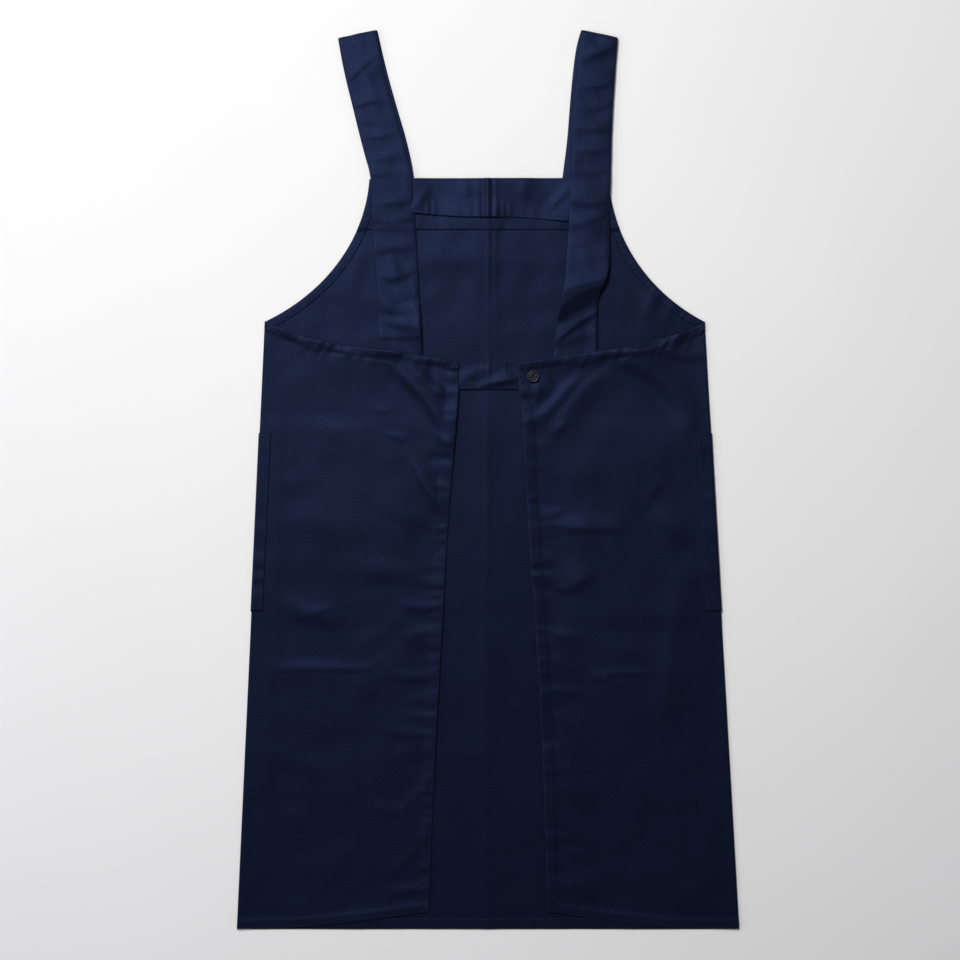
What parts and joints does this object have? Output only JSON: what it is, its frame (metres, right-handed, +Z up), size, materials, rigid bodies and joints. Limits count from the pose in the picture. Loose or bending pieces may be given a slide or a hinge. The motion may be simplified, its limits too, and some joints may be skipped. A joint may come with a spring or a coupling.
{
  "type": "cross-back pinafore apron",
  "caption": "Knee-length twill work apron with an H-shaped back, shoulder straps, buttoned waist tab and wrapped side pockets, lying flat.",
  "frame": {"origin": "middle of the outline of the flat apron, at the height of the table it lies on", "axes": "+X to the wearer's right-hand side of the picture plane with the back upwards, +Y from hem to shoulders, +Z up from the table"},
  "size_m": [0.602, 1.078, 0.0138],
  "materials": {
    "twill": "matt navy cotton twill",
    "thread": "navy polyester sewing thread",
    "button_resin": "polished near-black resin"
  },
  "bodies": {
    "garment": {"front_panel": "twill", "bib_facing": "twill", "armhole_facing_left": "twill", "armhole_facing_right": "twill", "back_panel_left": "twill", "back_panel_right": "twill", "pocket_left": "twill", "pocket_right": "twill", "strap_tail_left": "twill", "strap_tail_right": "twill", "strap_front_end_left": "twill", "strap_front_end_right": "twill", "crossbar": "twill", "waist_tab": "twill", "button_shank": "thread", "front_hem_stitching": "thread", "bib_facing_stitching": "thread", "armhole_stitching_left": "thread", "armhole_stitching_right": "thread", "back_top_stitching_left": "thread", "back_top_stitching_right": "thread", "pocket_stitching_left": "thread", "pocket_stitching_right": "thread", "strap_end_stitching_left": "thread", "strap_end_stitching_right": "thread", "crossbar_top_stitching": "thread", "crossbar_lower_stitching": "thread", "tab_stitching": "thread", "buttonhole_stitching": "thread"},
    "left_skirt": {"back_skirt_left": "twill", "back_edge_stitching_left": "thread", "back_hem_stitching_left": "thread"},
    "right_skirt": {"back_skirt_right": "twill", "back_edge_stitching_right": "thread", "back_hem_stitching_right": "thread"},
    "left_strap_loop": {"shoulder_strap_left": "twill"},
    "right_strap_loop": {"shoulder_strap_right": "twill"},
    "button_disc": {"button": "button_resin"}
  },
  "joints": [
    {"name": "left_skirt_fold", "type": "hinge", "parent": "garment", "child": "left_skirt", "pos_m": [-0.04014, 0.093, 0.0055], "axis": [-0.3512, -0.9363, 0], "range_deg": [0, 165]},
    {"name": "right_skirt_fold", "type": "hinge", "parent": "garment", "child": "right_skirt", "pos_m": [0.04014, 0.093, 0.0055], "axis": [-0.3512, 0.9363, 0], "range_deg": [0, 165]},
    {"name": "left_strap_fold", "type": "hinge", "parent": "garment", "child": "left_strap_loop", "pos_m": [-0.115, 0.3598, 0.0075], "axis": [1, 0, 0], "range_deg": [0, 165]},
    {"name": "right_strap_fold", "type": "hinge", "parent": "garment", "child": "right_strap_loop", "pos_m": [0.115, 0.3598, 0.0075], "axis": [1, 0, 0], "range_deg": [0, 165]},
    {"name": "button_twist", "type": "hinge", "parent": "garment", "child": "button_disc", "pos_m": [0.054, 0.1235, 0.0054], "axis": [0, 0, 1], "range_deg": [-20, 20]}
  ]
}
